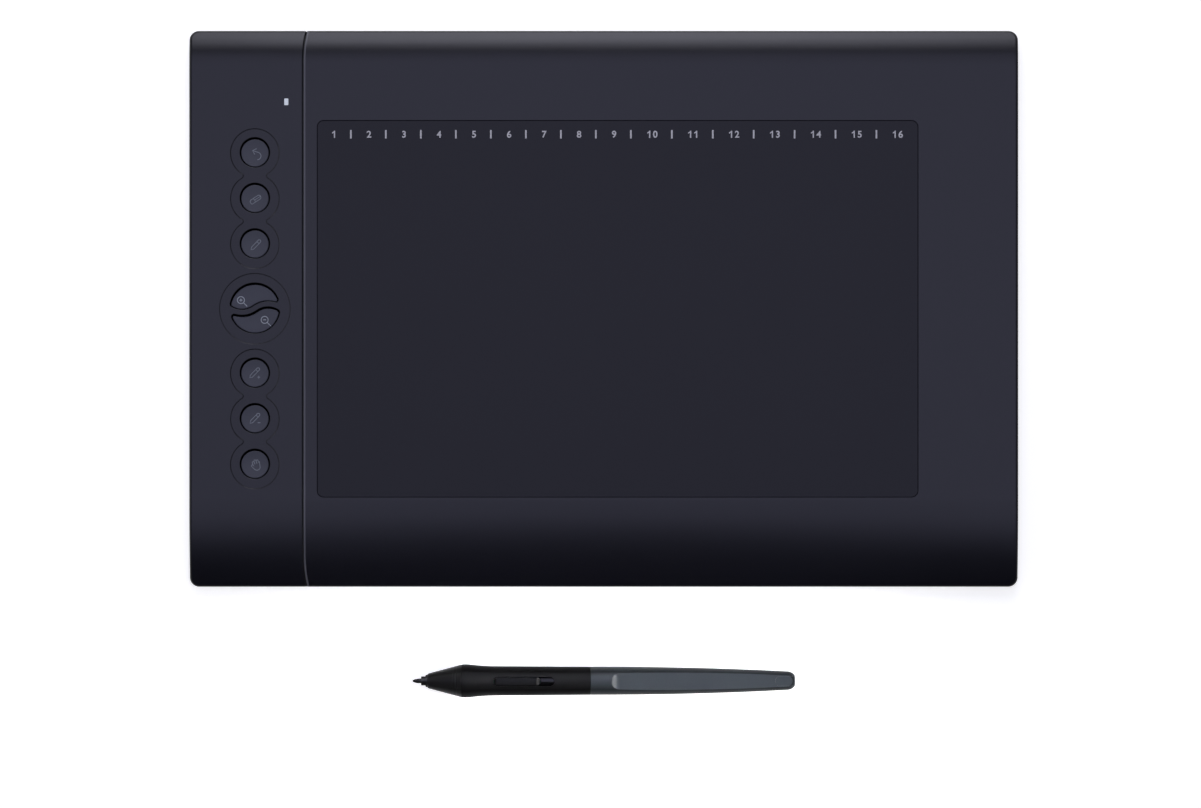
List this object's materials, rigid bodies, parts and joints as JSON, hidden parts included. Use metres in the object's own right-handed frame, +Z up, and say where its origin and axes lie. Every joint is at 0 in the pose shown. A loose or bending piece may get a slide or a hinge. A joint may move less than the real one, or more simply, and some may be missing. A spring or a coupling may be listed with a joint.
{
  "type": "pen tablet",
  "caption": "Slim graphics tablet with a recessed drawing sheet, a column of round keys and a divided zoom key, and its cordless pen lying in front of it.",
  "frame": {"origin": "on the desk, under the middle of the tablet's outline", "axes": "+X to the right along the tablet's long side, +Y to its rear edge, +Z up; the keys are at the left and the pen lies in front, at negative Y"},
  "size_m": [0.353, 0.2841, 0.0142],
  "materials": {
    "cover_plastic": "satin",
    "sheet_film": "matte",
    "key_plastic": "satin",
    "board_laminate": "satin",
    "shield_metal": "satin",
    "screw_steel": "satin",
    "chip_black": "matte",
    "lamp_white": "gloss",
    "window_clear": "gloss",
    "connector_cream": "satin",
    "cable_amber": "gloss",
    "socket_steel": "satin",
    "switch_black": "satin",
    "plunger_white": "satin",
    "foot_rubber": "matte",
    "nib_plastic": "satin",
    "cone_plastic": "satin",
    "grip_rubber": "matte",
    "barrel_paint": "satin",
    "side_key_plastic": "satin",
    "inner_plastic": "satin",
    "ferrite_grey": "matte",
    "winding_copper": "gloss"
  },
  "bodies": {
    "tablet": {"top_cover": "cover_plastic", "key_panel": "cover_plastic", "bottom_cover": "cover_plastic", "drawing_sheet": "sheet_film", "sensor_board": "board_laminate", "shield_plate": "shield_metal", "control_board": "board_laminate", "board_screws": "screw_steel", "controller_chips": "chip_black", "status_lamp": "lamp_white", "status_window": "window_clear", "flex_connector": "connector_cream", "flat_cable": "cable_amber", "usb_socket": "socket_steel", "switch_housings": "switch_black", "rubber_feet": "foot_rubber", "case_screws": "screw_steel"},
    "express_1": {"express_key_1": "key_plastic", "express_plunger_1": "plunger_white"},
    "express_2": {"express_key_2": "key_plastic", "express_plunger_2": "plunger_white"},
    "express_3": {"express_key_3": "key_plastic", "express_plunger_3": "plunger_white"},
    "express_4": {"express_key_4": "key_plastic", "express_plunger_4": "plunger_white"},
    "express_5": {"express_key_5": "key_plastic", "express_plunger_5": "plunger_white"},
    "express_6": {"express_key_6": "key_plastic", "express_plunger_6": "plunger_white"},
    "zoom_in": {"zoom_in_key": "key_plastic", "zoom_in_plunger": "plunger_white"},
    "zoom_out": {"zoom_out_key": "key_plastic", "zoom_out_plunger": "plunger_white"},
    "pen": {"nib_bush": "cone_plastic", "nose_cone": "cone_plastic", "grip_sleeve": "grip_rubber", "front_barrel": "inner_plastic", "rear_barrel": "barrel_paint", "tail_plug": "barrel_paint", "pen_carrier": "inner_plastic", "pen_board": "board_laminate", "side_switches": "switch_black", "ferrite_core": "ferrite_grey", "core_winding": "winding_copper", "force_sensor": "chip_black"},
    "nib_slider": {"nib": "nib_plastic", "nib_holder": "inner_plastic"},
    "side_rocker": {"side_key": "side_key_plastic"}
  },
  "joints": [
    {"name": "express_press_1", "type": "slide", "parent": "tablet", "child": "express_1", "axis": [0, 0, -1], "range_m": [0, 0.0005], "stiffness_N_per_m": 200, "springref_m": -0.002},
    {"name": "express_press_2", "type": "slide", "parent": "tablet", "child": "express_2", "axis": [0, 0, -1], "range_m": [0, 0.0005], "stiffness_N_per_m": 200, "springref_m": -0.002},
    {"name": "express_press_3", "type": "slide", "parent": "tablet", "child": "express_3", "axis": [0, 0, -1], "range_m": [0, 0.0005], "stiffness_N_per_m": 200, "springref_m": -0.002},
    {"name": "express_press_4", "type": "slide", "parent": "tablet", "child": "express_4", "axis": [0, 0, -1], "range_m": [0, 0.0005], "stiffness_N_per_m": 200, "springref_m": -0.002},
    {"name": "express_press_5", "type": "slide", "parent": "tablet", "child": "express_5", "axis": [0, 0, -1], "range_m": [0, 0.0005], "stiffness_N_per_m": 200, "springref_m": -0.002},
    {"name": "express_press_6", "type": "slide", "parent": "tablet", "child": "express_6", "axis": [0, 0, -1], "range_m": [0, 0.0005], "stiffness_N_per_m": 200, "springref_m": -0.002},
    {"name": "zoom_in_press", "type": "slide", "parent": "tablet", "child": "zoom_in", "axis": [0, 0, -1], "range_m": [0, 0.0005], "stiffness_N_per_m": 200, "springref_m": -0.002},
    {"name": "zoom_out_press", "type": "slide", "parent": "tablet", "child": "zoom_out", "axis": [0, 0, -1], "range_m": [0, 0.0005], "stiffness_N_per_m": 200, "springref_m": -0.002},
    {"name": "pen_lift", "type": "slide", "parent": "tablet", "child": "pen", "axis": [0, 0, 1], "range_m": [0, 0.05]},
    {"name": "nib_press", "type": "slide", "parent": "pen", "child": "nib_slider", "axis": [0.9999, 0, -0.0153], "range_m": [0, 0.0004], "stiffness_N_per_m": 400, "springref_m": -0.001},
    {"name": "side_key_rock", "type": "hinge", "parent": "pen", "child": "side_rocker", "pos_m": [-0.03687, -0.1585, 0.00885], "axis": [0, 1, 0], "range_deg": [-2, 2], "stiffness_Nm_per_rad": 0.05}
  ]
}
